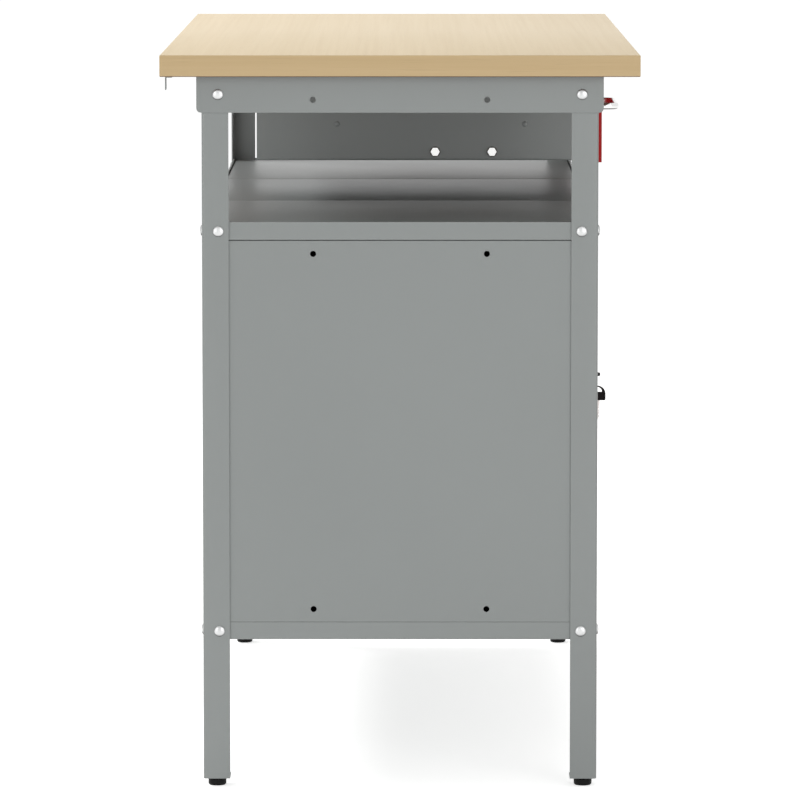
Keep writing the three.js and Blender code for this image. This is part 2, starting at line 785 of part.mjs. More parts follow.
// The cam's hub lies behind the barrel, and its tip is cranked forward, close behind the doors.
function lockCam() {
  const half = camWidth / 2;
  const outline = roundedOutline(-half, half, -camReach, half, [camCorner, camCorner, half, half]);
  outline.holes.push(roundHole(0, 0, plugStub + 2 * pinGap));
  const hub = barrelEnd + camGap;
  const tip = doorBack + camTipGap;
  const bendTop = -camHub / 2;
  const front = [[hub, half], [hub, bendTop], [tip, bendTop - camCrank], [tip, -camReach]];
  const back = front.map(([y, z]) => [y + camThickness, z]).reverse();
  const side = new THREE.Shape([...front, ...back].map(([y, z]) => new THREE.Vector2(y, z)));
  const strip = extrude('x', side, -half, half);
  const reach = [Math.min(hub, tip) - camThickness, Math.max(hub, tip) + 2 * camThickness];
  return shared(strip, extrude('y', outline, ...reach, roundSteps));
}

// A key in the plane across X, its blade down, with the middle of its half-moon slot at the origin
function key() {
  const top = keyHoleDrop;
  const bottom = top - keyHeadLength;
  const half = keyHeadWidth / 2;
  const spring = top - keyHeadCrown; // where the sides turn into the rounded end
  const outline = new THREE.Shape();
  outline.moveTo(-half + keyHeadCorner, bottom);
  outline.lineTo(half - keyHeadCorner, bottom);
  outline.quadraticCurveTo(half, bottom, half, bottom + keyHeadCorner);
  outline.lineTo(half, spring);
  outline.absellipse(0, spring, half, keyHeadCrown, 0, Math.PI);
  outline.lineTo(-half, bottom + keyHeadCorner);
  outline.quadraticCurveTo(-half, bottom, -half + keyHeadCorner, bottom);
  const slot = new THREE.Path();
  slot.absellipse(0, -keySlotHeight / 2, keySlotWidth / 2, keySlotHeight, 0, Math.PI);
  slot.closePath();
  outline.holes.push(slot);
  const head = extrude('x', outline, -keyHeadThickness / 2, keyHeadThickness / 2, roundSteps);
  return join(head, keyBlade(bottom));
}

function keyBlade(shoulder) {
  const half = keyBladeWidth / 2;
  const root = shoulder + keyBladeRoot;
  const tip = shoulder - keyBladeLength;
  const shape = new THREE.Shape();
  shape.moveTo(-half, root);
  for (let i = 0; i < keyNotches; i += 1) {
    const z = shoulder - keyNotchStart - i * keyNotchPitch;
    const depth = keyNotchDepths[i % keyNotchDepths.length];
    shape.lineTo(-half, z);
    shape.lineTo(-half + depth, z - keyNotchSlope);
    shape.lineTo(-half + depth, z - keyNotchSlope - keyNotchFlat);
    shape.lineTo(-half, z - 2 * keyNotchSlope - keyNotchFlat);
  }
  shape.lineTo(-keyTipWidth / 2, tip);
  shape.lineTo(keyTipWidth / 2, tip);
  shape.lineTo(half, tip + keyTip);
  shape.lineTo(half, root);
  return extrude('x', shape, -keyBladeThickness / 2, keyBladeThickness / 2);
}

addMesh('lock_body', lockBody(), 'chrome', { x: lockX, z: lockZ });
addMesh('lock_nut', lockNut(), 'zinc', { x: lockX, z: lockZ });
addMesh('lock_plug', lockPlug(), 'zinc', { x: lockX, z: lockZ });
addMesh('lock_cam', lockCam(), 'zinc', { x: lockX, z: lockZ });

// The key in the lock lies flat, with its blade along +Y
const insertedKey = addMesh('lock_key', key(), 'blackPlastic', { x: lockX, y: keyHoleY, z: lockZ });
const lying = new THREE.Matrix4().makeBasis(axes.z, axes.x.clone().negate(), axes.y.clone().negate());
insertedKey.setRotationFromMatrix(lying);

// The ring runs through the slot at 45 degrees, and the spare key hangs at its lowest point
const ringShift = ringRadius * Math.SQRT1_2;
const ring = new THREE.TorusGeometry(ringRadius, ringWire / 2, 6, 28).rotateX(Math.PI / 2);
const ringPlace = { x: lockX + ringShift, y: keyHoleY - ringOffset, z: lockZ - ringShift };
addMesh('key_ring', ring, 'chrome', ringPlace);
const wireTop = ringPlace.z - ringRadius + ringWire / 2;
const spareZ = wireTop + seatGap - keySlotHeight / 2;
addMesh('spare_key', key(), 'blackPlastic', { x: ringPlace.x, y: ringPlace.y, z: spareZ });

// Shoot bolt behind the left door, shown drawn back

function shootBolt() {
  const radius = shootDiameter / 2;
  const top = doorTop - seatGap;
  const shaft = turned('z', [
    [0, top - shootLength],
    [radius, top - shootLength],
    [radius, top - pinChamfer],
    [radius - pinChamfer, top],
    [0, top],
  ]);
  const knob = rod('y', shootKnobDiameter, 0, radius + shootKnobLength);
  return join(shaft, knob.translate(0, 0, top - shootKnobDrop)).translate(-shootX, pivotY, 0);
}

function boltGuide() {
  const base = doorFace + doorSheet + seatGap;
  const reach = doorBack - seatGap;
  const top = doorTop - guideTop;
  const bottom = top - guideHeight;
  const corners = [[reach, bottom], [base, bottom], [base, top], [reach, top]];
  const section = foldedSection(corners, -guideSheet);
  const bracket = extrude('x', section, -shootX - guideWidth / 2, -shootX + guideWidth / 2);
  return cut(bracket, pinHole(-shootX, pivotY, shootDiameter, bottom - guideSheet, top + guideSheet));
}

addMesh('shoot_bolt', shootBolt(), 'zinc');
addMesh('bolt_guide', boltGuide(), 'zinc');

// Drawer hangers, runners and rollers, made for each side

function hangerBolts(x, sheet) {
  return hangerBoltSetbacks.map((back) => {
    return boltHole('x', x, hangerFrontY + back, hangerBottom + hangerBoltRise, sheet);
  });
}

function hanger(side) {
  const corners = [
    [side * (hangerX - hangerBottomFlange), hangerBottom],
    [side * hangerX, hangerBottom],
    [side * hangerX, apronTop],
    [side * (hangerX - hangerTopFlange), apronTop],
  ];
  const section = foldedSection(corners, side * hangerSheet);
  const plate = extrude('y', section, hangerFrontY, hangerFrontY + hangerLength);
  const through = 2 * hangerSheet;
  const holes = hangerHoleSetbacks.map((back) => {
    const hole = rod('x', hangerHoleDiameter, -through, through);
    return hole.translate(side * hangerX, hangerFrontY + back, hangerBottom + hangerHoleRise);
  });
  return cut(plate, ...hangerBolts(side * hangerX, hangerSheet), ...holes);
}

function rollerStub(side, x0, x1, y) {
  const [from, to] = side > 0 ? [x0, x1] : [-x1, -x0];
  return rod('x', rollerPin, from, to).translate(0, y, rollerZ);
}

const frontRollerY = runnerFrontY + frontRollerSetback;
const rearRollerY = drawerBoxRear - rearRollerSetback;

function fixedRunner(side) {
  const top = runnerBottom + runnerHeight;
  const inside = runnerX - runnerFlange;
  const corners = [
    [side * inside, runnerBottom],
    [side * runnerX, runnerBottom],
    [side * runnerX, top],
    [side * inside, top],
  ];
  const section = foldedSection(corners, side * runnerSheet);
  const stub = rollerStub(side, rollerOuterX - rollerWidth, runnerX - runnerSheet / 2, frontRollerY);
  const holes = hangerBolts(side * runnerX, runnerSheet);
  return cut(join(extrude('y', section, runnerFrontY, runnerRearY), stub), ...holes);
}

function drawerRunner(side) {
  const inside = drawerRunnerX - runnerSheet;
  const flangeEnd = rollerOuterX - seatGap;
  const corners = [
    [side * inside, drawerBoxBottom],
    [side * inside, drawerRunnerTop],
    [side * flangeEnd, drawerRunnerTop],
  ];
  const section = foldedSection(corners, -side * runnerSheet, runnerSheet / 2);
  const stub = rollerStub(side, drawerRunnerX - runnerSheet / 2, rollerOuterX + rollerPinProud, rearRollerY);
  return join(extrude('y', section, drawerBoxFront, drawerBoxRear), stub);
}

function roller() {
  const radius = rollerDiameter / 2;
  const bore = rollerPin / 2 + pinGap;
  const half = rollerWidth / 2;
  return turned('x', [
    [bore, -half],
    [radius - rollerBevel, -half],
    [radius, -half + rollerBevel],
    [radius, half - rollerBevel],
    [radius - rollerBevel, half],
    [bore, half],
    [bore, -half],
  ]);
}

for (const [name, side] of [['left', -1], ['right', 1]]) {
  addMesh(`drawer_hanger_${name}`, hanger(side), 'greyPaint');
  addMesh(`fixed_runner_${name}`, fixedRunner(side), 'zinc');
  addMesh(`drawer_runner_${name}`, drawerRunner(side), 'zinc');
  const x = side * (rollerOuterX - rollerWidth / 2);
  addMesh(`front_roller_${name}`, roller(), 'whiteNylon', { x, y: frontRollerY, z: rollerZ });
  addMesh(`rear_roller_${name}`, roller(), 'whiteNylon', { x, y: rearRollerY, z: rollerZ });
}

// Drawer

// Folded box, with a hem that doubles the sheet along its top edge
function drawerBox() {
  const top = drawerBoxBottom + drawerBoxHeight;
  const whole = box(-drawerBoxX, drawerBoxX, drawerBoxFront, drawerBoxRear, drawerBoxBottom, top);
  const hollow = (wall, z0, z1) => {
    const x = drawerBoxX - wall;
    return box(-x, x, drawerBoxFront + wall, drawerBoxRear - wall, z0, z1);
  };
  const inside = hollow(drawerSheet, drawerBoxBottom + drawerSheet, top - drawerHem);
  const mouth = hollow(2 * drawerSheet, drawerBoxBottom + drawerSheet, top + drawerSheet);
  return cut(whole, inside, mouth);
}

function drawerFront() {
  const half = drawerFrontWidth / 2;
  const outline = [-half, half, drawerFrontBottom, drawerFrontTop];
  return panFront(...outline, drawerFace, drawerFrontDepth, doorSheet, drawerLip, drawerFrontCorner);
}

function drawerHandle() {
  const half = handleSpan / 2;
  const foot = drawerFace - seatGap;
  const bar = drawerFace - handleReach + handleThickness / 2;
  const at = (x, y) => new THREE.Vector3(x, y, 0);
  const arm = bar + handleBend; // where a foot turns into its bend
  const flat = half - handleBend; // where a bend turns into the bar
  const path = new THREE.CurvePath();
  path.add(new THREE.LineCurve3(at(-half, foot), at(-half, arm)));
  path.add(new THREE.QuadraticBezierCurve3(at(-half, arm), at(-half, bar), at(-flat, bar)));
  path.add(new THREE.LineCurve3(at(-flat, bar), at(flat, bar)));
  path.add(new THREE.QuadraticBezierCurve3(at(flat, bar), at(half, bar), at(half, arm)));
  path.add(new THREE.LineCurve3(at(half, arm), at(half, foot)));
  const section = new THREE.Shape();
  section.absellipse(0, 0, handleHeight / 2, handleThickness / 2, 0, Math.PI * 2);
  const sweep = { steps: handleSteps, extrudePath: path, curveSegments: 6 };
  return toGeometry(toSolid(new THREE.ExtrudeGeometry(section, sweep)));
}

addMesh('drawer_box', drawerBox(), 'greyPaint');
addMesh('drawer_front', drawerFront(), 'redPaint');
addMesh('drawer_handle', drawerHandle(), 'chrome', { z: (drawerFrontBottom + drawerFrontTop) / 2 });

// Tabs under the worktop's rear edge

function rearTab() {
  const outer = benchDepth / 2 - tabInset;
  const corners = [[outer, apronTop - tabDrop], [outer, apronTop], [outer - tabLeaf, apronTop]];
  return extrude('x', foldedSection(corners, tabSheet, tabSheet / 2), 0, tabLength);
}

const tabX = benchLength / 2 - tabEndInset;
addMesh('rear_tab_left', rearTab(), 'greyPaint', { x: -tabX });
addMesh('rear_tab_right', rearTab(), 'greyPaint', { x: tabX - tabLength });

export default bench;
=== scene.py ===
import json
import math

import bmesh
import bpy
from mathutils import Matrix, Vector


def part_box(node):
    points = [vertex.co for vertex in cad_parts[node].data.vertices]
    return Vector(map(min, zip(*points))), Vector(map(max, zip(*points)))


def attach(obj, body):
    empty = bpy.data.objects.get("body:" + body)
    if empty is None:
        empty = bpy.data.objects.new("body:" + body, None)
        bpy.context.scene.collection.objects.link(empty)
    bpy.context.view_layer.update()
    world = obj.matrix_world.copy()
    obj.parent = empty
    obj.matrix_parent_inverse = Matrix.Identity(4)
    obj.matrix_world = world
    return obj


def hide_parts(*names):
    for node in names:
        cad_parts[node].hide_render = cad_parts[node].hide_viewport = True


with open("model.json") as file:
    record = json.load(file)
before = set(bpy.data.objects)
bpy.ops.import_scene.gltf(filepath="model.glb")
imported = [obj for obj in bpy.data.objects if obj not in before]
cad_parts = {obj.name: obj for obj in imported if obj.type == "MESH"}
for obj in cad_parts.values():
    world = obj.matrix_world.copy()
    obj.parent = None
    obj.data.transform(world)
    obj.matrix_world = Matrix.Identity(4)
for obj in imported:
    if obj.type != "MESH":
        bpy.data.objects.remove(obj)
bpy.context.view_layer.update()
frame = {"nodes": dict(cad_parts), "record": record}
nodes = frame["nodes"]
scene = bpy.context.scene
mm = 0.001
print("frame loaded:", len(nodes), "pieces")


# Node trees: a socket that can be added, subtracted and multiplied, and one way to make any node

class Signal:
    def __init__(self, tree, socket):
        self.tree = tree
        self.socket = socket

    def output(self, name):
        return Signal(self.tree, self.socket.node.outputs[name])

    def maths(self, operation, first, second):
        return self.tree.node("ShaderNodeMath", {"operation": operation}, {0: first, 1: second})

    def __add__(self, other):
        return self.maths("ADD", self, other)

    def __radd__(self, other):
        return self.maths("ADD", other, self)

    def __sub__(self, other):
        return self.maths("SUBTRACT", self, other)

    def __rsub__(self, other):
        return self.maths("SUBTRACT", other, self)

    def __mul__(self, other):
        return self.maths("MULTIPLY", self, other)

    def __rmul__(self, other):
        return self.maths("MULTIPLY", other, self)


class NodeTree:
    def __init__(self, tree):
        self.tree = tree

    def node(self, kind, settings=None, inputs=None, out=0):
        made = self.tree.nodes.new(kind)
        for name, value in (settings or {}).items():
            setattr(made, name, value)
        for key, value in (inputs or {}).items():
            if isinstance(value, Signal):
                self.tree.links.new(value.socket, made.inputs[key])
            elif isinstance(value, list):  # several links into one socket
                for part in value:
                    self.tree.links.new(part.socket, made.inputs[key])
            else:
                made.inputs[key].default_value = value
        if len(made.outputs):
            return Signal(self, made.outputs[out])

    def larger(self, first, second):
        return self.node("ShaderNodeMath", {"operation": "MAXIMUM"}, {0: first, 1: second})

    def absolute(self, value):
        return self.node("ShaderNodeMath", {"operation": "ABSOLUTE"}, {0: value})


class Finish(NodeTree):
    def __init__(self, name):
        self.material = bpy.data.materials.new(name)
        self.material.use_nodes = True
        super().__init__(self.material.node_tree)
        self.tree.nodes.clear()
        self.place = self.node("ShaderNodeTexCoord", out="Object")

    def stretched(self, scale, shift):
        return self.node("ShaderNodeMapping", None, {
            "Vector": self.place, "Location": shift, "Scale": scale})

    def noise(self, scale, detail=2.0, rough=0.5, place=None, warp=0.0):
        return self.node("ShaderNodeTexNoise", None, {
            "Vector": place or self.place, "Scale": scale, "Detail": detail, "Roughness": rough,
            "Distortion": warp})

    def spread(self, value, low, high, first=0.0, last=1.0):
        return self.node("ShaderNodeMapRange", None, {
            "Value": value, "From Min": low, "From Max": high, "To Min": first, "To Max": last})

    def swing(self, noise, first=0.0, last=1.0):
        return self.spread(noise, 0.3, 0.7, first, last)  # nearly all of a noise lies between these two

    def tint(self, factor, first, second, mode="MIX"):
        # the colour sockets of a Mix node are 6 and 7, and its colour comes out of 2
        return self.node("ShaderNodeMix", {"data_type": "RGBA", "blend_type": mode},
                         {0: factor, 6: first, 7: second}, out=2)

    def parted(self, vector, axis):
        return self.node("ShaderNodeSeparateXYZ", None, {"Vector": vector}, out=axis)

    def facing(self, axis):
        return self.parted(self.node("ShaderNodeNewGeometry", out="Normal"), axis)

    def relief(self, height, depth, strength=1.0):
        return self.node("ShaderNodeBump", None, {
            "Height": height, "Distance": depth, "Strength": strength})

    def done(self, sockets):
        shader = self.node("ShaderNodeBsdfPrincipled", None, sockets)
        self.node("ShaderNodeOutputMaterial", None, {"Surface": shader})
        return self.material


def colour(red, green, blue):
    parts = [part / 255 for part in (red, green, blue)]
    return (*(p / 12.92 if p <= 0.04045 else ((p + 0.055) / 1.055) ** 2.4 for p in parts), 1.0)


def shade(base, factor):
    return (*(part * factor for part in base[:3]), 1.0)


# Powder coat: orange peel, a fine speck and a slow drift of the film's thickness

greyCoat = {
    "tone": colour(143, 147, 146), "drift": 0.03, "gloss": 0.36, "sheen": 0.5,
    "driftSize": 2.6, "peelSize": 520, "speckSize": 2400, "peelDepth": 0.03 * mm,
}
redCoat = {
    "tone": colour(172, 12, 16), "drift": 0.05, "gloss": 0.3, "sheen": 0.14,
    "driftSize": 2.6, "peelSize": 560, "speckSize": 2400, "peelDepth": 0.03 * mm,
}


def powderCoat(name, coat):
    finish = Finish(name)
    cloud = finish.noise(coat["driftSize"], 3.0)
    peel = finish.noise(coat["peelSize"], 2.0, 0.55)
    speck = finish.noise(coat["speckSize"], 1.0)
    light = finish.swing(cloud * 0.8 + speck * 0.2)
    thin, thick = shade(coat["tone"], 1 - coat["drift"]), shade(coat["tone"], 1 + coat["drift"])
    rough = coat["gloss"] + finish.swing(cloud, -0.03, 0.03) + finish.swing(peel, -0.02, 0.04)
    return finish.done({
        "Base Color": finish.tint(light, thin, thick), "Roughness": rough,
        "Specular IOR Level": coat["sheen"], "Normal": finish.relief(peel + speck * 0.2, coat["peelDepth"])})


# Wood-look board: grain along the face, a strip on each edge and a brown backing sheet underneath; the
# backing's thin band on the lower edge is also a painted shade line under the worktop

board = {
    "pale": colour(205, 184, 145), "mid": colour(201, 180, 140), "deep": colour(196, 173, 132),
    "strip": (0.95, 0.885, 0.8, 1.0),  # the edge strips are a little deeper than the face
    "streakDepth": 0.6, "poreTint": 0.25, "gloss": 0.37, "sheen": 0.5, "poreDepth": 0.03 * mm,
    "faceRun": 1.1, "endRun": 1.5,  # how fast the grain changes along the face and along an end strip
    "figureWidth": 26.0, "streakWidth": 150.0, "poreWidth": 900.0, "poreRun": 18.0,
    # the brown backing: real on the underside, and a painted shade line on the lowest 0.8 mm of the edge
    "backingAndShadeLine": colour(96, 70, 54), "backingTop": 825.8 * mm, "backingEdge": 0.1 * mm, "mottleSize": 60,
}


def boardFinish():
    finish = Finish("boardWood")
    # an end strip's grain runs along Y
    endFace = finish.spread(finish.absolute(finish.facing("X")), 0.6, 0.8)
    strip = finish.spread(finish.absolute(finish.facing("Z")), 0.8, 0.6)

    def grain(along, alongY):
        def place(run, cross, shift):
            scale = (cross, run, cross) if alongY else (run, cross, cross)
            return finish.stretched(scale, (shift, shift * 0.7, shift * 0.3))
        figure = finish.noise(1.0, 3.0, 0.55, place(along * 0.6, board["figureWidth"], 3.1), 0.3)
        streak = finish.noise(1.0, 4.0, 0.6, place(along * 1.4, board["streakWidth"], 7.7))
        pore = finish.noise(1.0, 2.0, 0.5, place(board["poreRun"], board["poreWidth"], 1.3))
        return figure, streak, pore

    onFace, onEnd = grain(board["faceRun"], False), grain(board["endRun"], True)
    figure, streak, pore = (face * (1 - endFace) + end * endFace for face, end in zip(onFace, onEnd))
    tone = finish.tint(finish.spread(figure, 0.35, 0.65), board["mid"], board["pale"])
    tone = finish.tint(finish.spread(streak, 0.42, 0.74, 0.0, board["streakDepth"]), tone, board["deep"])
    poreMask = finish.spread(pore, 0.62, 0.7, 0.0, board["poreTint"])
    tone = finish.tint(poreMask, tone, shade(board["deep"], 0.8))
    tone = finish.tint(strip, tone, board["strip"], "MULTIPLY")
    # painted shade: the brown backing wraps the lowest 0.8 mm of the edge, where it stands in for the shade
    # line under the worktop
    height, top, edge = finish.parted(finish.place, "Z"), board["backingTop"], board["backingEdge"]
    under = finish.spread(height, top + edge, top - edge)
    mottle = finish.noise(board["mottleSize"], 3.0)
    backingAndShadeLine = finish.tint(mottle, shade(board["backingAndShadeLine"], 0.85), shade(board["backingAndShadeLine"], 1.15))
    rough = board["gloss"] + finish.swing(streak, -0.005, 0.01) + under * 0.2
    return finish.done({
        "Base Color": finish.tint(under, tone, backingAndShadeLine), "Roughness": rough,
        "Specular IOR Level": board["sheen"], "Normal": finish.relief(1 - poreMask, board["poreDepth"], 0.6)})


# Plated metal, hazy and finely flaked. Where it faces the floor its colour is darkened: a painted shade and a
# painted dark reflection of the ground.

# the last number of each plate sets the tone of its painted underside shade
chromePlate = {"tone": colour(232, 232, 231), "rough": 0.08, "smudge": 0.05, "spangle": 0.02, "undersideShade": 0.08}
zincPlate = {"tone": colour(216, 217, 214), "rough": 0.24, "smudge": 0.14, "spangle": 0.08, "undersideShade": 0.5}
boltPlate = {"tone": colour(204, 205, 205), "rough": 0.3, "smudge": 0.12, "spangle": 0.14, "undersideShade": 0.12}
nutPlate = {"tone": colour(246, 246, 245), "rough": 0.1, "smudge": 0.06, "spangle": 0.04, "undersideShade": 0.06}
# the hanger washers' steel: real washers, darkened so that they also stand in as a painted shade ring round
# each nut
oiledSteel = {"tone": colour(96, 95, 92), "rough": 0.38, "smudge": 0.14, "spangle": 0.2, "undersideShade": 0.5}
plating = {"hazeSize": 90, "flakeSize": 1300, "flakeDepth": 0.01 * mm}  # the same on every metal


def brightMetal(name, plate):
    finish = Finish(name)
    haze = finish.noise(plating["hazeSize"], 3.0)
    flake = finish.noise(plating["flakeSize"], 1.0)
    light = finish.swing(haze * 0.6 + flake * 0.4)
    # painted shade: downward faces are darkened, standing in for shadow and a dark reflection from below
    under = finish.spread(finish.facing("Z"), -0.2, -0.7)
    plated = finish.tint(light, shade(plate["tone"], 1 - plate["spangle"]), plate["tone"])
    return finish.done({
        "Base Color": finish.tint(under, plated, shade(plate["tone"], plate["undersideShade"])), "Metallic": 1.0,
        "Roughness": plate["rough"] + finish.swing(haze, 0.0, plate["smudge"]),
        "Normal": finish.relief(flake, plating["flakeDepth"], 0.3)})


blackMould = {
    "tone": colour(14, 14, 14), "drift": 0.12, "driftSize": 40, "rough": 0.5, "sheen": 0.15,
    "grainSize": 1500, "grainDepth": 0.02 * mm,
}
whiteMould = {
    "tone": colour(234, 233, 226), "drift": 0.12, "driftSize": 40, "rough": 0.4, "sheen": 0.5,
    "grainSize": 900, "grainDepth": 0.01 * mm,
}


def mouldedPlastic(name, mould):
    finish = Finish(name)
    skin = finish.noise(mould["grainSize"], 2.0, 0.6)
    cloud = finish.swing(finish.noise(mould["driftSize"], 2.0))
    dark, light = shade(mould["tone"], 1 - mould["drift"]), shade(mould["tone"], 1 + mould["drift"])
    return finish.done({
        "Base Color": finish.tint(cloud, dark, light),
        "Roughness": mould["rough"] + finish.swing(skin, -0.05, 0.08),
        "Specular IOR Level": mould["sheen"], "Normal": finish.relief(skin, mould["grainDepth"])})


greyPaint = powderCoat("greyPowderCoat", greyCoat)
redPaint = powderCoat("redPowderCoat", redCoat)
wood = boardFinish()
chrome = brightMetal("chromePlate", chromePlate)
zinc = brightMetal("zincPlate", zincPlate)
boltMetal = brightMetal("boltPlate", boltPlate)
nutMetal = brightMetal("nutPlate", nutPlate)
washerShadeMetal = brightMetal("oiledSteel", oiledSteel)
blackPlastic = mouldedPlastic("blackPlastic", blackMould)
whiteNylon = mouldedPlastic("whiteNylon", whiteMould)
print("finishes made")


# Meshes

def addPiece(name, mesh, material, body, slotName, *stands):
    piece = bpy.data.objects.new(name, mesh)
    scene.collection.objects.link(piece)
    if not mesh.materials:
        mesh.materials.append(material)
    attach(piece, body)
    if stands:
        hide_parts(*stands)


def smoothed(mesh, sharpAngle=35):
    mesh.polygons.foreach_set("use_smooth", [True] * len(mesh.polygons))
    mesh.set_sharp_from_angle(angle=math.radians(sharpAngle))
    return mesh


def toMesh(name, shape):
    mesh = bpy.data.meshes.new(name)
    shape.to_mesh(mesh)
    shape.free()
    return smoothed(mesh)


def faceOutwards(shape):
    bmesh.ops.recalc_face_normals(shape, faces=shape.faces)
    if shape.calc_volume(signed=True) < 0:
        bmesh.ops.reverse_faces(shape, faces=shape.faces)
    return shape


def cleanShape(nodeName):
    # a merged copy of a solid, with its flat faces made whole again
    shape = bmesh.new()
    shape.from_mesh(nodes[nodeName].data)
    bmesh.ops.remove_doubles(shape, verts=shape.verts, dist=0.002 * mm)
    bmesh.ops.dissolve_limit(shape, angle_limit=math.radians(0.4), verts=shape.verts, edges=shape.edges)
    return shape


def settled(name, holder, *helpers):
    # the mesh that an object's modifiers give, after which the object and its helpers go
    graph = bpy.context.evaluated_depsgraph_get()
    result = bpy.data.meshes.new_from_object(holder.evaluated_get(graph))
    result.name = name
    holder.modifiers.clear()
    for piece in (holder, *helpers):
        bpy.data.objects.remove(piece)
    return result


def workPiece(name, mesh):
    piece = bpy.data.objects.new(name + "Work", mesh)
    scene.collection.objects.link(piece)
    return piece


def bevelled(name, mesh, width, steps=2):
    holder = workPiece(name, mesh)
    soften = holder.modifiers.new("soften", "BEVEL")
    soften.width = width * mm
    soften.segments = steps
    soften.limit_method = "ANGLE"
    soften.angle_limit = math.radians(38)
    soften.use_clamp_overlap = False
    soften.harden_normals = True
    result = settled(name, holder)
    result.materials.clear()
    return result


def combined(name, mesh, tools, operation):
    # the mesh with each tool's shape added to it or taken away
    holder = workPiece(name, mesh)
    pieces = [workPiece(name + "Tool", tool) for tool in tools]
    for piece in pieces:
        change = holder.modifiers.new("change", "BOOLEAN")
        change.operation = operation
        change.solver = "EXACT"
        change.object = piece
    return settled(name, holder, *pieces)


def blockMesh(name, low, high):
    shape = bmesh.new()
    bmesh.ops.create_cube(shape, size=1)
    for vert in shape.verts:
        vert.co = Vector([(a + b) / 2 + part * (b - a) for a, b, part in zip(low, high, vert.co)]) * mm
    return toMesh(name, shape)


# Folded sheet and board: a cleaned copy of each solid, with its edges rounded by so many millimetres

sheetEdges = {
    "worktop": ("wood", 0.5), "leg": ("grey", 0.4), "end_apron": ("grey", 0.35),
    "end_panel": ("grey", 0.12),
    "upper_rail": ("grey", 0.2), "lower_rail": ("grey", 0.2), "back_panel": ("grey", 0.25),
    "shelf_deck": ("grey", 0.1), "cabinet_floor": ("grey", 0.1), "door_stop": ("grey", 0.3),
    "drawer_hanger": ("grey", 0.28), "rear_tab": ("grey", 0.22), "drawer_box": ("grey", 0.22),
    "fixed_runner": ("zinc", 0.25), "drawer_runner": ("zinc", 0.25), "bolt_guide": ("zinc", 0.3),
    "door_left": ("red", 0.28), "door_right": ("red", 0.28), "drawer_front": ("red", 0.28),
    "lock_nut": ("zinc", 0.3), "lock_cam": ("zinc", 0.3), "lock_plug": ("zinc", 0.2),
}
finishOf = {
    "wood": (wood, "board"), "grey": (greyPaint, "grey_paint"), "red": (redPaint, "red_paint"),
    "zinc": (zinc, "zinc"),
}
bodies = frame["record"]["behaviour"]["bodies"]
bodyOf = {node: body for body, members in bodies.items() for node in members}

for nodeName in sorted(nodes):
    kind = next((kind for kind in sheetEdges if nodeName.startswith(kind)), None)
    if kind is None:
        continue
    finishName, width = sheetEdges[kind]
    material, slotName = finishOf[finishName]
    mesh = bevelled(nodeName + "_sheet", toMesh(nodeName + "_clean", cleanShape(nodeName)), width)
    addPiece(nodeName + "_sheet", mesh, material, bodyOf[nodeName], slotName, nodeName)
print("sheet pieces softened")


# Turned pieces: a profile of (radius, height) in millimetres, spun around an axis

def turnedShape(profile, axis, centre, steps=64, closed=False):
    basis = {
        "x": Matrix(((0, 0, 1), (1, 0, 0), (0, 1, 0))),
        "y": Matrix(((0, 1, 0), (0, 0, 1), (1, 0, 0))),
        "z": Matrix.Identity(3),
    }[axis]
    middle = Vector(centre)
    shape = bmesh.new()
    rings = []
    for radius, height in profile:
        ring = []
        for i in range(steps if radius else 1):  # a point on the axis is a ring of one
            angle = 2 * math.pi * i / steps
            point = Vector((radius * math.cos(angle), radius * math.sin(angle), height))
            ring.append(shape.verts.new((basis @ point + middle) * mm))
        rings.append(ring)
    for low, high in zip(rings, rings[1:] + rings[:1] if closed else rings[1:]):
        for i in range(steps):
            j = i + 1
            corners = [low[i % len(low)], low[j % len(low)], high[j % len(high)], high[i % len(high)]]
            unique = list(dict.fromkeys(corners))
            if len(unique) > 2:
                shape.faces.new(unique)
    return faceOutwards(shape)


def eased(before, corner, after, t):
    # a point on the curve that leaves one point for another by way of a corner
    return before * (1 - t) ** 2 + corner * 2 * t * (1 - t) + after * t ** 2


def rounded(points, radius, steps=5):
    # a line of (u, v) points with each inner corner rounded
    line = [Vector(points[0])]
    for before, corner, after in zip(points, points[1:], points[2:]):
        corner, before, after = Vector(corner), Vector(before), Vector(after)
        reach = min(radius, (before - corner).length * 0.45, (after - corner).length * 0.45)
        start = corner + (before - corner).normalized() * reach
        end = corner + (after - corner).normalized() * reach
        line += [eased(start, corner, end, i / steps) for i in range(steps + 1)]
    line.append(Vector(points[-1]))
    return [(point.x, point.y) for point in line]


def boxOf(nodeName):
    low, high = (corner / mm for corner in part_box(nodeName))
    return low, high, (low + high) / 2


foot = {
    "seatInset": 1.6, "toeInset": 0.3, "toeRise": 1.3, "wallStart": 3, "wallEnd": 7.6,
    "neckInset": 0.5, "neckStart": 7.8, "top": 9, "plugRadius": 4, "plugTop": 20, "soften": 0.5,
}
for nodeName in sorted(name for name in nodes if name.startswith("foot_")):
    low, high, middle = boxOf(nodeName)
    radius = (high.x - low.x) / 2
    neck = radius - foot["neckInset"]
    profile = rounded([
        (0, 0), (radius - foot["seatInset"], 0), (radius - foot["toeInset"], foot["toeRise"]),
        (radius, foot["wallStart"]), (radius, foot["wallEnd"]),
        (neck, foot["neckStart"]), (neck, foot["top"]),
        (foot["plugRadius"], foot["top"]), (foot["plugRadius"], foot["plugTop"]), (0, foot["plugTop"])],
        foot["soften"])
    mesh = toMesh(nodeName + "_glide", turnedShape(profile, "z", (middle.x, middle.y, 0)))
    addPiece(nodeName + "_glide", mesh, blackPlastic, "bench", "black_plastic", nodeName)

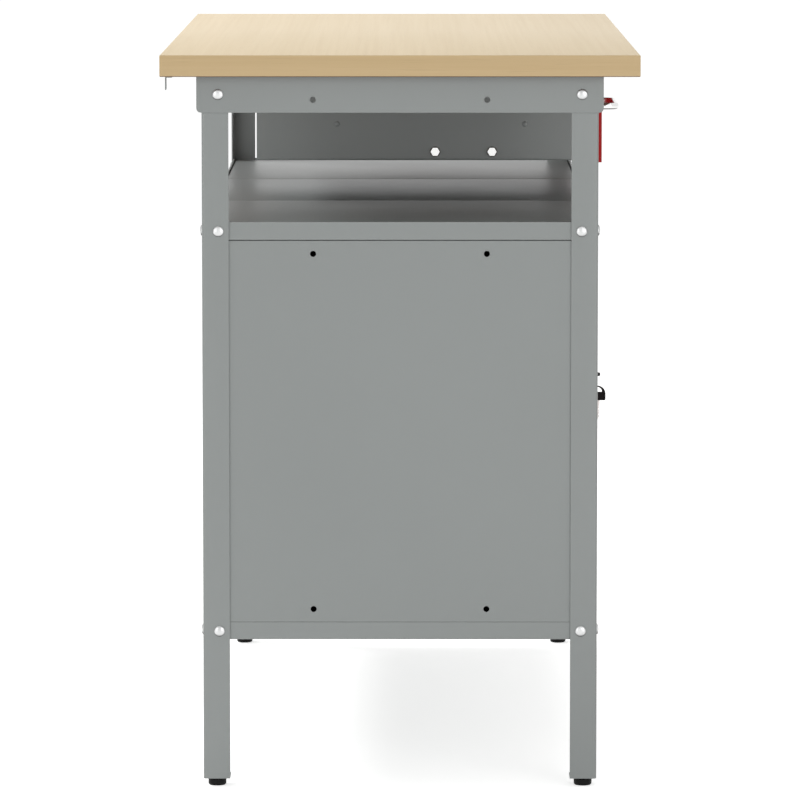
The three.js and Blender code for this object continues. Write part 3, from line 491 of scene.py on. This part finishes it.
# a rim, a web set back from it on both sides, and a hub on the pin
roller = {"bore": 2.8, "hub": 4.6, "rim": 7.2, "webInset": 1.2, "soften": 0.5}
for nodeName in sorted(name for name in nodes if "_roller_" in name):
    low, high, middle = boxOf(nodeName)
    radius, half = (high.z - low.z) / 2, (high.x - low.x) / 2
    web = half - roller["webInset"]
    edge = rounded([
        (roller["bore"], half), (roller["hub"], half), (roller["hub"], web), (roller["rim"], web),
        (roller["rim"], half), (radius, half), (radius, 0)], roller["soften"], 4)
    profile = edge + [(r, -h) for r, h in reversed(edge[:-1])]
    mesh = toMesh(nodeName + "_wheel", turnedShape(profile, "x", middle, closed=True))
    addPiece(nodeName + "_wheel", mesh, whiteNylon, bodyOf[nodeName], "white_nylon", nodeName)

# a shank through the rail, a collar on it and a chamfered tip in the door
pin = {
    "root": 3.2, "radius": 3, "collar": 5, "collarTop": 1.8, "tipStart": 10.2, "tipRadius": 2, "tip": 11.1,
    "soften": 0.3, "sides": 48,
}
for nodeName in sorted(name for name in nodes if name.startswith("pivot_pin_")):
    low, high, middle = boxOf(nodeName)
    upper = nodeName.endswith("upper")  # the upper pins hang with their tips down
    profile = rounded([
        (0, -pin["root"]), (pin["radius"], -pin["root"]), (pin["radius"], 0), (pin["collar"], 0),
        (pin["collar"], pin["collarTop"]), (pin["radius"], pin["collarTop"]),
        (pin["radius"], pin["tipStart"]),
        (pin["tipRadius"], pin["tip"]), (0, pin["tip"])], pin["soften"])
    seat = high.z - pin["root"] if upper else low.z + pin["root"]
    points = [(r, -h if upper else h) for r, h in profile]
    mesh = toMesh(nodeName + "_pin", turnedShape(points, "z", (middle.x, middle.y, seat), pin["sides"]))
    addPiece(nodeName + "_pin", mesh, zinc, "bench", "zinc", nodeName)
print("turned pieces made")


# Fasteners, placed by geometry nodes

class Pattern(NodeTree):
    def __init__(self, name, sizes):
        group = bpy.data.node_groups.new(name, "GeometryNodeTree")
        super().__init__(group)
        group.interface.new_socket("Geometry", in_out="INPUT", socket_type="NodeSocketGeometry")
        for label, value in sizes.items():
            size = group.interface.new_socket(label, in_out="INPUT", socket_type="NodeSocketFloat")
            size.default_value = value
        group.interface.new_socket("Material", in_out="INPUT", socket_type="NodeSocketMaterial")
        group.interface.new_socket("Geometry", in_out="OUTPUT", socket_type="NodeSocketGeometry")
        entry = group.nodes.new("NodeGroupInput")
        self.given = {socket.name: Signal(self, socket) for socket in entry.outputs if socket.name}

    def sizes(self, *labels):
        return [self.given[label] for label in labels]

    def lifted(self, shape, height, turn=0.0):
        lift = self.node("ShaderNodeCombineXYZ", None, {"Z": height})
        return self.node("GeometryNodeTransform", None, {
            "Geometry": shape, "Translation": lift, "Rotation": (0, 0, turn)})

    def dome(self, diameter, height, skirt, segments=32):
        # a ball pressed into a cap: its lower half becomes the straight skirt and the flat seat
        ball = self.node("GeometryNodeMeshUVSphere", None, {
            "Segments": segments, "Rings": 20, "Radius": 1.0})
        spot = self.node("ShaderNodeSeparateXYZ", None, {"Vector": self.node("GeometryNodeInputPosition")})
        upper = self.node("ShaderNodeMath", {"operation": "GREATER_THAN"}, {0: spot.output("Z"), 1: -0.05})
        rise = upper * (spot.output("Z") * (height - skirt) + skirt)
        place = self.node("ShaderNodeCombineXYZ", None, {
            "X": spot * diameter * 0.5, "Y": spot.output("Y") * diameter * 0.5, "Z": rise})
        return self.node("GeometryNodeSetPosition", None, {"Geometry": ball, "Position": place})

    def drum(self, sides, diameter, base, top, turn=0.0):
        body = self.node("GeometryNodeMeshCylinder", None, {
            "Vertices": sides, "Radius": diameter * 0.5, "Depth": top - base})
        return self.lifted(body, (top + base) * 0.5, turn)

    def combine(self, operation, meshes):
        return self.node("GeometryNodeMeshBoolean", {"operation": operation, "solver": "EXACT"}, meshes)

    def scatter(self, shape):
        facing = self.node("GeometryNodeInputNamedAttribute", {"data_type": "FLOAT_VECTOR"}, {
            "Name": "facing"})
        turn = self.node("FunctionNodeAlignRotationToVector", {"axis": "Z"}, {"Vector": facing})
        copies = self.node("GeometryNodeInstanceOnPoints", None, {
            "Points": self.given["Geometry"], "Instance": shape, "Rotation": turn})
        solid = self.node("GeometryNodeRealizeInstances", None, {"Geometry": copies})
        painted = self.node("GeometryNodeSetMaterial", None, {
            "Geometry": solid, "Material": self.given["Material"]})
        self.node("NodeGroupOutput", None, {"Geometry": painted})


def domedBolts():
    pattern = Pattern("domedBolts", {
        "Head Diameter": 12.4 * mm, "Head Height": 2.8 * mm, "Skirt": 0.7 * mm})
    pattern.scatter(pattern.dome(*pattern.sizes("Head Diameter", "Head Height", "Skirt")))
    return pattern


def hexNuts():
    pattern = Pattern("hexNuts", {
        "Across Corners": 11.5 * mm, "Height": 5 * mm, "Bolt": 6 * mm, "Bolt Proud": 1.6 * mm,
        "Face Proud": 0.25 * mm, "Tip": 0.4 * mm})
    corners, height, bolt = pattern.sizes("Across Corners", "Height", "Bolt")
    proud, faceProud, tipHeight = pattern.sizes("Bolt Proud", "Face Proud", "Tip")
    nut = pattern.drum(6, corners, 0.0, height, math.pi / 6)
    face = pattern.drum(32, corners * 0.84, height * 0.5, height + faceProud)
    end = pattern.drum(24, bolt, height * 0.4, height + proud)
    tip = pattern.drum(24, bolt * 0.8, height * 0.3, height + proud + tipHeight)
    pattern.scatter(pattern.combine("UNION", {"Mesh 2": [nut, face, end, tip]}))
    return pattern


def crossScrews():
    pattern = Pattern("crossScrews", {"Head Diameter": 8 * mm, "Head Height": 2.2 * mm, "Slot": 1.1 * mm})
    head, height, slot = pattern.sizes("Head Diameter", "Head Height", "Slot")
    cap = pattern.dome(head, height, height * 0.15, 28)
    long = head * 0.55
    for first, second in ((long, slot), (slot, long)):
        size = pattern.node("ShaderNodeCombineXYZ", None, {"X": first, "Y": second, "Z": height})
        bar = pattern.lifted(pattern.node("GeometryNodeMeshCube", None, {"Size": size}), height)
        cap = pattern.combine("DIFFERENCE", {"Mesh 1": cap, "Mesh 2": bar})
    pattern.scatter(cap)
    return pattern


def fasten(name, pattern, places, sizes, material, body, slotName):
    mesh = bpy.data.meshes.new(name + "_spots")
    mesh.from_pydata([Vector(spot) * mm for spot, way in places], [], [])
    facing = mesh.attributes.new("facing", "FLOAT_VECTOR", "POINT")
    facing.data.foreach_set("vector", [part for spot, way in places for part in way])
    holder = workPiece(name, mesh)
    modifier = holder.modifiers.new("pattern", "NODES")
    modifier.node_group = pattern.tree
    given = {label: size * mm for label, size in sizes.items()}
    given["Material"] = material
    for item in pattern.tree.interface.items_tree:
        if item.in_out == "INPUT" and item.name in given:
            modifier[item.identifier] = given[item.name]
    addPiece(name, smoothed(settled(name, holder), 38), material, body, slotName)


def bothSides(x, ys, z, facing=None):
    # one place at each end of the bench for every y, facing outwards unless told otherwise
    return [((side * x, y, z), facing or (side, 0, 0)) for side in (-1, 1) for y in ys]


boltPattern, nutPattern, screwPattern = domedBolts(), hexNuts(), crossScrews()

frameBolts = {
    "x": 559, "y": 209, "apronZ": 804, "upperZ": 646.4, "lowerZ": 182.35,
    "apronX": 579.8, "legX": 578, "legY": 228,  # the faces that the heads sit on
    "apronNutX": 576, "railNutX": 571.4, "railNutY": 221.4, "sillNutY": 224.2,  # and the nuts
}
bolts, nuts = [], []
for sideX in (-1, 1):
    for sideY in (-1, 1):
        x, y = sideX * frameBolts["x"], sideY * frameBolts["y"]
        bolts.append(((sideX * frameBolts["apronX"], y, frameBolts["apronZ"]), (sideX, 0, 0)))
        nuts.append(((sideX * frameBolts["apronNutX"], y, frameBolts["apronZ"]), (-sideX, 0, 0)))
        for height in ("upperZ", "lowerZ"):
            z = frameBolts[height]
            bolts.append(((sideX * frameBolts["legX"], y, z), (sideX, 0, 0)))
            nuts.append(((sideX * frameBolts["railNutX"], y, z), (-sideX, 0, 0)))
            bolts.append(((x, sideY * frameBolts["legY"], z), (0, sideY, 0)))
            sill = sideY < 0 and height == "lowerZ"
            nutY = frameBolts["sillNutY" if sill else "railNutY"]
            nuts.append(((x, sideY * nutY, z), (0, -sideY, 0)))
fasten("frame_bolts", boltPattern, bolts, {}, boltMetal, "bench", "chrome")
fasten("frame_nuts", nutPattern, nuts, {}, zinc, "bench", "zinc")

hanger = {
    "outside": 200, "inside": 197.3, "washer": 0.8, "nutY": (-42, -111), "nutZ": 714.5,
    "rivetY": (-151, 77), "rivetZ": 748,
}
nutPlaces = bothSides(hanger["outside"] + hanger["washer"], hanger["nutY"], hanger["nutZ"])
washerPlaces = bothSides(hanger["outside"], hanger["nutY"], hanger["nutZ"])
rivetPlaces = bothSides(hanger["outside"], hanger["rivetY"], hanger["rivetZ"])
headPlaces = bothSides(hanger["inside"], hanger["nutY"], hanger["nutZ"])
headPlaces = [(spot, (-way[0], 0, 0)) for spot, way in headPlaces]  # the heads face the drawer
fasten("hanger_nuts", nutPattern, nutPlaces, {"Across Corners": 11, "Height": 4}, nutMetal, "bench", "zinc")
fasten("hanger_rivets", boltPattern, rivetPlaces, {"Head Diameter": 6.6, "Head Height": 1.9, "Skirt": 0.5},
       greyPaint, "bench", "grey_paint")
# real washers under the nuts, dark-toned as a painted shade ring round each nut
fasten("hanger_washers", boltPattern, washerPlaces, {
    "Head Diameter": 13, "Head Height": hanger["washer"] + 0.1, "Skirt": hanger["washer"]},
    washerShadeMetal, "bench", "zinc")
fasten("hanger_bolt_heads", boltPattern, headPlaces, {"Head Diameter": 9, "Head Height": 1.2, "Skirt": 0.2},
       zinc, "bench", "zinc")

topScrews = {
    "apronX": 564, "apronY": (-180, -60, 60, 180), "apronZ": 823.2,
    "hangerX": 192.5, "hangerY": (-190, -20, 150), "hangerZ": 823.5,
}
down = (0, 0, -1)
screws = bothSides(topScrews["apronX"], topScrews["apronY"], topScrews["apronZ"], down)
screws += bothSides(topScrews["hangerX"], topScrews["hangerY"], topScrews["hangerZ"], down)
fasten("top_screws", screwPattern, screws, {}, zinc, "bench", "zinc")

bow = {
    "half": 64, "z": 762, "foot": -244.2, "bar": -267, "bend": 14, "lead": 3, "bendSteps": 20,
    "thick": 6, "tall": 8, "squareness": 2.3, "sides": 32,
}
drawerScrews = {"y": -224.2, "x": 150, "z": (730, 776), "diameter": 7, "height": 2}
inwards = (0, 1, 0)
screws = [((x, drawerScrews["y"], z), inwards)
          for x in (-drawerScrews["x"], drawerScrews["x"]) for z in drawerScrews["z"]]
screws += [((x, drawerScrews["y"], bow["z"]), inwards) for x in (-bow["half"], bow["half"])]
fasten("drawer_screws", screwPattern, screws, {
    "Head Diameter": drawerScrews["diameter"], "Head Height": drawerScrews["height"]},
    zinc, "drawer", "zinc")
print("fasteners placed:", len(bolts), "bolts,", len(nuts), "nuts")


# Swept pieces: a section of (across, up) points carried along a line of points

def sweptShape(points, section, up):
    shape = bmesh.new()
    rings = []
    last = len(points) - 1
    for i, point in enumerate(points):
        along = (points[min(i + 1, last)] - points[max(i - 1, 0)]).normalized()
        side = along.cross(up).normalized()
        rings.append([shape.verts.new((point + side * a + up * b) * mm) for a, b in section])
    count = len(section)
    for first, second in zip(rings, rings[1:]):
        for i in range(count):
            j = (i + 1) % count
            shape.faces.new((first[i], first[j], second[j], second[i]))
    shape.faces.new(rings[0])
    shape.faces.new(rings[-1])
    return faceOutwards(shape)


def softOval(width, height, power, steps):
    # an oval whose sides flatten as the power grows
    points = []
    for i in range(steps):
        angle = 2 * math.pi * i / steps
        c, s = math.cos(angle), math.sin(angle)
        points.append((math.copysign(abs(c) ** (2 / power), c) * width / 2,
                       math.copysign(abs(s) ** (2 / power), s) * height / 2))
    return points


def handlePath():
    # from one foot out to the bend and round it, then the same line mirrored
    half, bar, z, steps = bow["half"], bow["bar"], bow["z"], bow["bendSteps"]
    arm = bar + bow["bend"]
    start, corner = Vector((-half, arm, z)), Vector((-half, bar, z))
    end = Vector((bow["bend"] - half, bar, z))
    line = [Vector((-half, bow["foot"], z)), Vector((-half, arm + bow["lead"], z))]
    line += [eased(start, corner, end, i / steps) for i in range(steps + 1)]
    return line + [Vector((-point.x, point.y, point.z)) for point in reversed(line)]


section = softOval(bow["thick"], bow["tall"], bow["squareness"], bow["sides"])
handle = sweptShape(handlePath(), section, Vector((0, 0, 1)))
addPiece("drawer_bow", toMesh("drawer_bow", handle), chrome, "drawer", "chrome", "drawer_handle")

lock = {
    "x": 35, "z": 419, "bore": 6.3, "barrel": 9, "flange": 11, "bevel": 1.4,
    "face": -230, "seat": -227.8, "end": -206.5, "soften": 0.35, "sides": 72,
}
bezel = rounded([
    (lock["bore"], lock["end"]), (lock["bore"], lock["face"]),
    (lock["flange"] - lock["bevel"], lock["face"]), (lock["flange"], lock["face"] + lock["bevel"]),
    (lock["flange"], lock["seat"]),
    (lock["barrel"], lock["seat"]), (lock["barrel"], lock["end"])], lock["soften"], 4)
bezelShape = turnedShape(bezel, "y", (lock["x"], 0, lock["z"]), lock["sides"], closed=True)
addPiece("lock_bezel", toMesh("lock_bezel", bezelShape), chrome, "right_door", "chrome", "lock_body")

shoot = {
    "x": -30, "y": -217.5, "bottom": 559, "top": 633, "radius": 3, "tip": 1, "soften": 0.3, "sides": 40,
    "gripZ": 588, "gripStart": 1, "stem": 2, "stemEnd": 6, "knob": 2.5, "knobStart": 6.5, "knobEnd": 9.4,
    "gripEnd": 10, "gripSoften": 0.6, "gripSides": 32,
}
shaft = rounded([
    (0, shoot["bottom"]), (shoot["radius"], shoot["bottom"]),
    (shoot["radius"], shoot["top"] - shoot["tip"]), (shoot["radius"] - shoot["tip"], shoot["top"]),
    (0, shoot["top"])], shoot["soften"])
grip = rounded([
    (0, shoot["gripStart"]), (shoot["stem"], shoot["gripStart"]), (shoot["stem"], shoot["stemEnd"]),
    (shoot["knob"], shoot["knobStart"]), (shoot["knob"], shoot["knobEnd"]), (0, shoot["gripEnd"])],
    shoot["gripSoften"])
shaftShape = turnedShape(shaft, "z", (shoot["x"], shoot["y"], 0), shoot["sides"])
gripShape = turnedShape(grip, "y", (shoot["x"], shoot["y"], shoot["gripZ"]), shoot["gripSides"])
rod = combined("shoot_rod", toMesh("shaft", shaftShape), [toMesh("grip", gripShape)], "UNION")
addPiece("shoot_rod", smoothed(rod), zinc, "bolt", "zinc", "shoot_bolt")

splitRing = {
    "radius": 10.4, "offset": 0.35, "turns": 2, "steps": 72, "start": math.pi / 4, "crossing": 1 / 6,
    "wide": 1.3, "thin": 0.66, "squareness": 3, "sides": 16,
}


def ringPath():
    middle = boxOf("key_ring")[2]
    line = []
    for i in range(splitRing["turns"] * splitRing["steps"] + 1):
        turn = i / splitRing["steps"]
        angle = 2 * math.pi * turn + splitRing["start"]
        # each turn lies flat, and the wire crosses from one to the other over a part of a turn
        rise = min(1, max(0, (turn - 1) / splitRing["crossing"] + 0.5))
        shift = (rise * 2 - 1) * splitRing["offset"]
        out = splitRing["radius"]
        line.append(Vector((math.cos(angle) * out, shift, math.sin(angle) * out)) + middle)
    return line


section = softOval(splitRing["wide"], splitRing["thin"], splitRing["squareness"], splitRing["sides"])
wire = sweptShape(ringPath(), section, Vector((0, 1, 0)))
addPiece("split_ring", toMesh("split_ring", wire), chrome, "spare", "chrome", "key_ring")


# Keys: a moulded head with a sunk panel on both faces, and a plated blade

keyHead = {
    "length": 18.5, "border": 1.7, "panelStart": 1.4, "panelEnd": 9.2, "web": 1.3, "outside": 3,
    "soften": 0.4, "bladeSoften": 0.12,
}


def keyParts(name, body, shoulder, normal, panels):
    # the solid is cut at the shoulder, and each part is closed again there
    for part, isHead in (("head", True), ("blade", False)):
        shape = cleanShape(name)
        geometry = list(shape.verts) + list(shape.edges) + list(shape.faces)
        bmesh.ops.bisect_plane(
            shape, geom=geometry, dist=0.001 * mm, plane_co=shoulder * mm, plane_no=normal,
            clear_inner=isHead, clear_outer=not isHead)
        bmesh.ops.holes_fill(shape, edges=[edge for edge in shape.edges if edge.is_boundary])
        partName = name + "_" + part
        mesh = toMesh(partName, faceOutwards(shape))
        if isHead:
            sinks = [blockMesh("sink", low, high) for low, high in panels]
            mesh = combined("head", mesh, sinks, "DIFFERENCE")
            mesh = bevelled(partName, mesh, keyHead["soften"], 3)
            addPiece(partName, mesh, blackPlastic, body, "black_plastic", name)
        else:
            mesh = bevelled(partName, mesh, keyHead["bladeSoften"], 1)
            addPiece(partName, mesh, zinc, body, "zinc")


# the spare key hangs with its faces to the sides, and the lock's key lies flat
low, high, middle = boxOf("spare_key")
headEnd = high.z - keyHead["length"]
acrossY = (low.y + keyHead["border"], high.y - keyHead["border"])
alongZ = (headEnd + keyHead["panelStart"], headEnd + keyHead["panelEnd"])
layersX = [(middle.x - keyHead["outside"], middle.x - keyHead["web"]),
           (middle.x + keyHead["web"], middle.x + keyHead["outside"])]
keyParts("spare_key", "spare", Vector((middle.x, middle.y, headEnd)), (0, 0, 1),
         [tuple(zip(layer, acrossY, alongZ)) for layer in layersX])

low, high, middle = boxOf("lock_key")
headEnd = low.y + keyHead["length"]
acrossX = (low.x + keyHead["border"], high.x - keyHead["border"])
alongY = (headEnd - keyHead["panelEnd"], headEnd - keyHead["panelStart"])
layersZ = [(middle.z - keyHead["outside"], middle.z - keyHead["web"]),
           (middle.z + keyHead["web"], middle.z + keyHead["outside"])]
keyParts("lock_key", "lock", Vector((middle.x, headEnd, middle.z)), (0, -1, 0),
         [tuple(zip(acrossX, alongY, layer)) for layer in layersZ])
print("handle, lock and keys made")


# Camera, floor and light

view = {
    "place": (-7.19705, -0.01064, 1.15670), "pitch": 6.0808, "yaw": 0.0921,
    "lens": 259.743, "sensor": 36, "farthest": 200,
}
camera = bpy.data.objects.new("camera", bpy.data.cameras.new("camera"))
camera.data.lens = view["lens"]
camera.data.sensor_width = view["sensor"]
camera.data.clip_end = view["farthest"]
camera.location = view["place"]
camera.rotation_euler = (math.radians(90 - view["pitch"]), 0, math.radians(view["yaw"] - 90))
scene.collection.objects.link(camera)
scene.camera = camera

studio = {
    "fill": 0.46, "floor": colour(245, 245, 244), "floorLift": 0.63, "floorSize": 60, "floorMottle": 1.5,
}
white = (1, 1, 1, 1)


def backdropRays(tree):
    path = tree.node("ShaderNodeLightPath", out="Is Camera Ray")
    return tree.larger(tree.larger(path, path.output("Is Glossy Ray")), path.output("Is Transmission Ray"))


world = bpy.data.worlds.new("studio")
scene.world = world
world.use_nodes = True
sky = NodeTree(world.node_tree)
sky.tree.nodes.clear()
strength = backdropRays(sky) * (1 - studio["fill"]) + studio["fill"]
glow = sky.node("ShaderNodeBackground", None, {"Color": white, "Strength": strength})
sky.node("ShaderNodeOutputWorld", None, {"Surface": glow})

floorMesh = bpy.data.meshes.new("floor")
half = studio["floorSize"] / 2
corners = [(-half, -half, 0), (half, -half, 0), (half, half, 0), (-half, half, 0)]
floorMesh.from_pydata(corners, [], [(0, 1, 2, 3)])
floor = bpy.data.objects.new("floor", floorMesh)
scene.collection.objects.link(floor)
paper = Finish("floorPaper")
pale = paper.tint(paper.noise(studio["floorMottle"], 2.0), shade(studio["floor"], 0.99), studio["floor"])
matt = paper.node("ShaderNodeBsdfDiffuse", None, {"Color": pale})
lift = paper.node("ShaderNodeEmission", None, {
    "Color": white, "Strength": backdropRays(paper) * studio["floorLift"]})
both = paper.node("ShaderNodeAddShader", None, {0: matt, 1: lift})
paper.node("ShaderNodeOutputMaterial", None, {"Surface": both})
floorMesh.materials.append(paper.material)

# the rear lamp leaves no glint, so that the worktop keeps its colour from every side
lamps = {
    "key": {"place": (-4.6, -2.2, 1.4), "aim": (0, 0, 0.7), "size": 2.4, "power": 45.5, "glint": True},
    "fill": {"place": (-4.4, 2.6, 1.4), "aim": (0, 0, 0.7), "size": 2.6, "power": 34, "glint": True},
    "rear": {"place": (1.5, 3.3, 3.35), "aim": (0, 0, 0.7), "size": 1.2, "power": 104, "glint": False},
    "top": {"place": (0.6, 0.2, 4.2), "aim": (0, 0, 0.8), "size": 3.0, "power": 54, "glint": True},
}
for name, lamp in lamps.items():
    light = bpy.data.objects.new(name, bpy.data.lights.new(name, "AREA"))
    light.data.size = lamp["size"]
    light.data.energy = lamp["power"]
    light.visible_glossy = lamp["glint"]
    light.location = lamp["place"]
    light.rotation_euler = (Vector(lamp["aim"]) - Vector(lamp["place"])).to_track_quat("-Z", "Y").to_euler()
    scene.collection.objects.link(light)

scene.view_settings.view_transform = "Standard"
print("camera, floor and light set")
